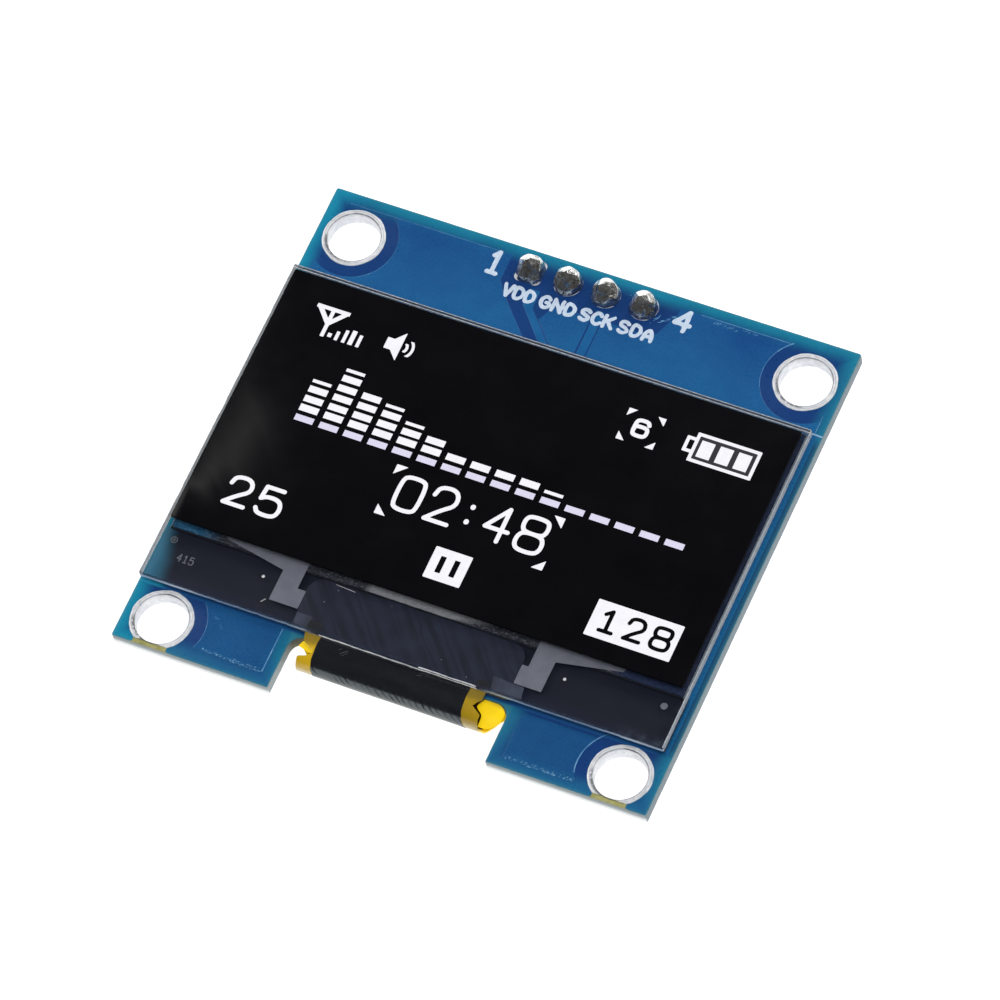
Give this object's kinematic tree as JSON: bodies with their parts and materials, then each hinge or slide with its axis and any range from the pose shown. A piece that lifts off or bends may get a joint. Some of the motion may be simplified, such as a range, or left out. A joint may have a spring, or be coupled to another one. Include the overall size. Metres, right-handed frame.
{
  "type": "small oled display module",
  "caption": "Flat blue circuit board with a bonded monochrome glass display, a rolled flat cable in a lower notch, corner mounting holes and a rear pin header.",
  "frame": {"origin": "centre of the four mounting holes on the board's rear face", "axes": "+Z out of the viewing side, +Y towards the pin header, +X to the right of the picture"},
  "size_m": [0.0354, 0.0334, 0.011],
  "materials": {
    "board_blue": "glossy solder mask over copper and glass-fibre laminate",
    "tinned_copper": "bright tinned surface",
    "white_tape": "matt double-sided tape",
    "panel_glass": "clear polished glass",
    "cover_glass": "clear glass with a ground recess",
    "desiccant": "matt sheet",
    "edge_seal": "cured adhesive",
    "emitter": "metal-backed layers",
    "polarizer_black": "smooth dark film",
    "silicon": "polished silicon",
    "resin_slate": "dark cured resin",
    "tape_black": "matt black tape",
    "flex_amber": "translucent amber film",
    "flex_black": "glossy black coating over traces",
    "bond_film": "thin conductive film",
    "solder": "bright solder",
    "header_plastic": "moulded plastic",
    "pin_metal": "gold-flashed brass",
    "part_black": "moulded epoxy",
    "lead_tin": "tinned leads",
    "resistor_block": "glazed ceramic chip with tinned ends",
    "capacitor_block": "ceramic chip with tinned ends"
  },
  "bodies": {
    "root": {"circuit_board": "board_blue", "hole_plating": "tinned_copper", "header_plating": "tinned_copper", "panel_tape": "white_tape", "cover_glass": "cover_glass", "desiccant_sheet": "desiccant", "edge_seal": "edge_seal", "emitter_layer": "emitter", "front_glass": "panel_glass", "polarizer": "polarizer_black", "driver_chip": "silicon", "chip_resin": "resin_slate", "shield_tape": "tape_black", "flex_base": "flex_amber", "flex_coating": "flex_black", "flex_bond_film": "bond_film", "flex_joints": "solder", "header_strip": "header_plastic", "header_pin_1": "pin_metal", "header_pin_2": "pin_metal", "header_pin_3": "pin_metal", "header_pin_4": "pin_metal", "pin_solder_1": "solder", "pin_solder_2": "solder", "pin_solder_3": "solder", "pin_solder_4": "solder", "regulator_body": "part_black", "regulator_leads": "lead_tin", "diode_body": "part_black", "diode_leads": "lead_tin", "resistor_current": "resistor_block", "resistor_clock": "resistor_block", "resistor_data": "resistor_block", "resistor_reset": "resistor_block", "resistor_address": "resistor_block", "capacitor_input": "capacitor_block", "capacitor_output": "capacitor_block", "capacitor_reset": "capacitor_block", "capacitor_pump_a": "capacitor_block", "capacitor_pump_b": "capacitor_block", "capacitor_common": "capacitor_block", "capacitor_panel": "capacitor_block", "chip_joints": "solder"}
  },
  "joints": []
}
